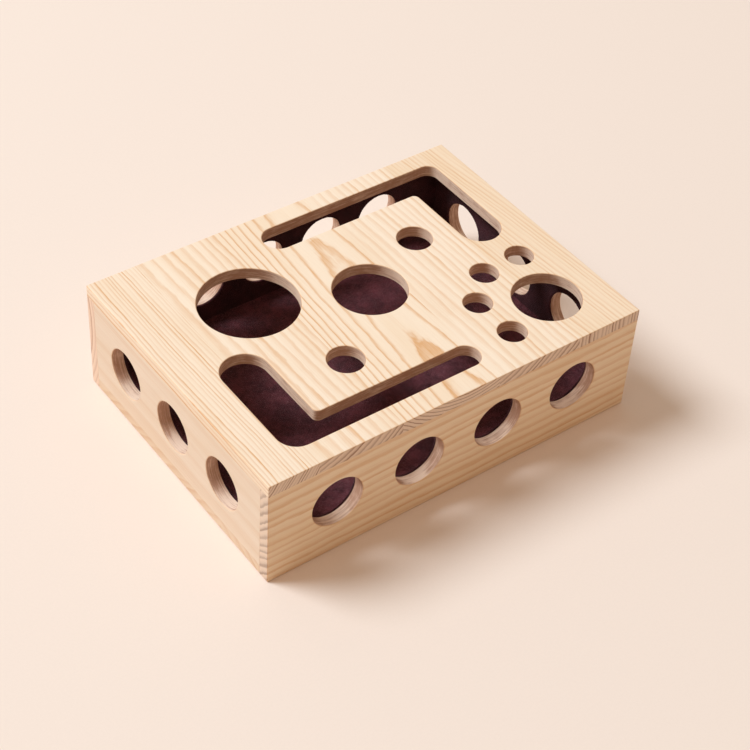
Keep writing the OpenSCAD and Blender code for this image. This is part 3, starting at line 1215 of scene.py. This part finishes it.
@dataclass
class FeltLining:
    """The felt inside the box: a floor sheet and a strip on each wall."""

    sizes: BoxSizes = BOX
    floor_felt: FeltFinish = FeltFinish("plum_felt")
    # The linings are the floor's felt, darkened as painted shade for the dim walls inside the box
    wall_felt_painted_shade: FeltFinish = FeltFinish("plum_felt_lining_painted_shade", (160, 146, 146))
    voxel: float = 1.1
    floor_cell: float = 2.4
    turned_up: float = 1.6
    turn_up_reach: float = 7.0
    # Soft lumps, as their size and height
    swell: tuple[float, float] = (34, 0.9)
    floor_nap: tuple[float, float] = (5, 0.35)
    strip_nap: tuple[float, float] = (6, 0.3)

    @staticmethod
    def relief(piece: Piece, rise: Rise, size: float, height: float) -> None:
        """Raises soft lumps on a sheet.

        Args:
            piece: The sheet.
            rise: Which way they rise.
            size: The lumps' size, in millimetres.
            height: Their height, in millimetres.
        """
        lumps = bpy.data.textures.new(f"{piece.name}_lumps_{size:g}", "CLOUDS")
        lumps.noise_scale = size * MM
        lumps.noise_depth = 2
        Bench.apply(
            piece, "DISPLACE", texture=lumps, texture_coords="GLOBAL", direction=rise.value,
            strength=height * MM, mid_level=0.5,
        )
        bpy.data.textures.remove(lumps)

    def floor(self) -> None:
        """Lays the floor sheet, with its edges turned up a little against the linings."""
        s = self.sizes
        width, length = s.inner_length * MM, s.inner_depth * MM
        Bench.clear()
        bpy.ops.mesh.primitive_grid_add(
            x_subdivisions=round(s.inner_length / self.floor_cell),
            y_subdivisions=round(s.inner_depth / self.floor_cell),
            size=1,
        )
        piece = bpy.context.object
        piece.name = piece.data.name = "felt_floor"
        bpy.ops.object.mode_set(mode="EDIT")
        bpy.ops.transform.resize(value=(width, length, 1))
        bpy.ops.transform.translate(value=(0, 0, s.felt_top * MM))
        edge_x, edge_y = width / 2 - Bench.SAME_PLACE, length / 2 - Bench.SAME_PLACE
        Bench.select(piece, Element.POINT, lambda p: abs(p.x) > edge_x or abs(p.y) > edge_y)
        bpy.ops.transform.translate(
            value=(0, 0, self.turned_up * MM), use_proportional_edit=True,
            proportional_edit_falloff="SHARP", proportional_size=self.turn_up_reach * MM,
        )
        Bench.clear()
        self.relief(piece, Rise.UP, *self.swell)
        self.relief(piece, Rise.UP, *self.floor_nap)
        Bench.apply(piece, "SOLIDIFY", thickness=s.felt * MM, offset=-1)
        bpy.ops.object.shade_smooth()
        hand_over(piece, "floor_felt", self.floor_felt)

    def strip(self, wall: Wall) -> None:
        """Glues a strip to the inside of a wall, with the wall's holes.

        Args:
            wall: The wall that carries it.
        """
        s = self.sizes
        width = s.inner_length if wall.ends_show else s.inner_depth - 2 * s.felt
        height = s.wall_height - s.felt_top
        middle = s.felt_top + height / 2
        holes = [RoundHole(h.x, h.y - middle, h.diameter) for h in wall.holes]
        piece = Bench.board(f"felt_{wall.name}", width, height, s.felt, holes)
        piece.data.remesh_voxel_size = self.voxel * MM
        Bench.take(piece)
        bpy.ops.object.voxel_remesh()
        shift = Matrix.Translation((0, (middle - s.wall_height / 2) * MM, -s.felt * MM))
        Bench.place(piece, wall.matrix @ shift)
        self.relief(piece, Rise.OUTWARD, *self.strip_nap)
        bpy.ops.object.shade_smooth()
        hand_over(piece, wall.lining, self.wall_felt_painted_shade)
        cut = sum(math.pi * (h.diameter / 2) ** 2 for h in wall.holes)


# Camera, floor and light


@dataclass(frozen=True)
class Viewpoint:
    """Where the camera stands and how it looks."""

    place: Triple = (-0.66478, -0.84997, 1.03658)
    azimuth: float = 38.705
    elevation: float = 43.303
    roll: float = 4.05
    lens: float = 87.353
    sensor: float = 36.0

    def build(self) -> None:
        """Makes the scene's camera."""
        turn, rise, roll = (math.radians(a) for a in (self.azimuth, self.elevation, self.roll))
        ahead = Vector((math.sin(turn) * math.cos(rise), math.cos(turn) * math.cos(rise), -math.sin(rise)))
        data = bpy.data.cameras.new("camera")
        data.lens, data.sensor_width = self.lens, self.sensor
        camera = bpy.data.objects.new("camera", data)
        camera.location = self.place
        camera.rotation_mode = "QUATERNION"
        camera.rotation_quaternion = ahead.to_track_quat("-Z", "Y") @ Quaternion((0, 0, 1), roll)
        bpy.context.scene.collection.objects.link(camera)
        bpy.context.scene.camera = camera


@dataclass(frozen=True)
class Studio:
    """A pale floor, one soft lamp from the back left and light from all round."""

    floor_side: float = 12.0
    lamp_from: Triple = (-0.57, 0.55, 1.0)
    lamp_reach: float = 10.0
    lamp_spread: float = 26.0
    lamp_colour: Triple = (0.871, 1.0, 1.115)
    lamp_strength: float = 2.67
    above: Triple = (0.628, 0.592, 0.552)
    around: Triple = (0.314, 0.223, 0.156)
    in_front: Triple = (0.83, 0.71, 0.58)
    gap: float = 0.0003

    def floor(self) -> None:
        """Lays the floor."""
        piece = Bench.open_plane("floor", self.floor_side, self.floor_side)
        bpy.ops.transform.translate(value=(0, 0, -self.gap))
        bpy.ops.mesh.subdivide(number_cuts=3)
        Bench.clear()
        piece.data.materials.append(FloorFinish("floor_paper").build())

    def lamp(self) -> None:
        """Hangs the lamp, a large round one."""
        data = bpy.data.lights.new("lamp", "AREA")
        data.shape = "DISK"
        data.size = 2 * self.lamp_reach * math.tan(math.radians(self.lamp_spread / 2))
        data.energy = self.lamp_strength * math.pi * self.lamp_reach**2
        data.color = self.lamp_colour
        lamp = bpy.data.objects.new("lamp", data)
        lamp.rotation_mode = "QUATERNION"
        lamp.rotation_quaternion = Vector(self.lamp_from).to_track_quat("Z", "Y")
        lamp.location = Vector(self.lamp_from).normalized() * self.lamp_reach
        bpy.context.scene.collection.objects.link(lamp)

    def surroundings(self) -> None:
        """Sets the light from all round, strongest above and warm in front, and the backdrop."""
        world = bpy.data.worlds.new("surroundings")
        bpy.context.scene.world = world
        world.use_nodes = True
        world.node_tree.nodes.clear()
        tree = NodeTree(world.node_tree)
        place = tree.node("ShaderNodeTexCoord").outputs["Generated"]
        _, forward, upward = tree.node("ShaderNodeSeparateXYZ", {0: place}).outputs
        rise = tree.node("ShaderNodeMapRange", {0: upward}).outputs[0]
        glow = tree.blend(rise, (*self.around, 1), (*self.above, 1))
        in_front = tree.node("ShaderNodeMapRange", {0: forward, 1: 1.0, 2: -1.0, 3: 0.0, 4: 1.0}).outputs[0]
        glow = tree.dyed(glow, (*self.in_front, 1), in_front)
        rays = tree.node("ShaderNodeLightPath").outputs
        seen = tree.math("MAXIMUM", rays["Is Camera Ray"], rays["Is Glossy Ray"])
        seen = tree.math("MAXIMUM", seen, rays["Is Transmission Ray"])
        back = tree.node("ShaderNodeBackground", {"Color": tree.blend(seen, glow, Tone.FLOOR.light)})
        tree.node("ShaderNodeOutputWorld", {0: back.outputs[0]})

    def build(self) -> None:
        """Sets up floor, lamp, surroundings and the plain view."""
        self.floor()
        self.lamp()
        self.surroundings()
        bpy.context.scene.view_settings.view_transform = "Standard"


def main() -> None:
    """Builds the scene: camera, boards, felt, dowels and studio."""
    long, short, far, side = BOX.length, BOX.inner_depth, BOX.depth / 2, BOX.length / 2
    turn = math.pi / 2
    walls = (
        Wall("front_wall", "front_panel", "front_lining", 0.0, long, far, FRONT_HOLES, FRONT_PINE, True),
        Wall("back_wall", "back_panel", "back_lining", 2 * turn, long, far, BACK_HOLES, BACK_PINE, True),
        Wall("left_wall", "left_panel", "left_lining", -turn, short, side, LEFT_HOLES, LEFT_PINE, False),
        Wall("right_wall", "right_panel", "right_lining", turn, short, side, RIGHT_HOLES, RIGHT_PINE, False),
    )
    Viewpoint().build()
    joinery = Joinery()
    cutter = joinery.cutter()
    for board in (TopBoard(), *walls):
        board.build(cutter)
    FloorBoard().build()
    lining = FeltLining()
    lining.floor()
    for wall in walls:
        lining.strip(wall)
    joinery.dress_dowels()
    bpy.data.objects.remove(cutter)
    Studio().build()


if __name__ == "__main__":
    logging.basicConfig(level=logging.INFO, format="%(name)s %(message)s")
    main()
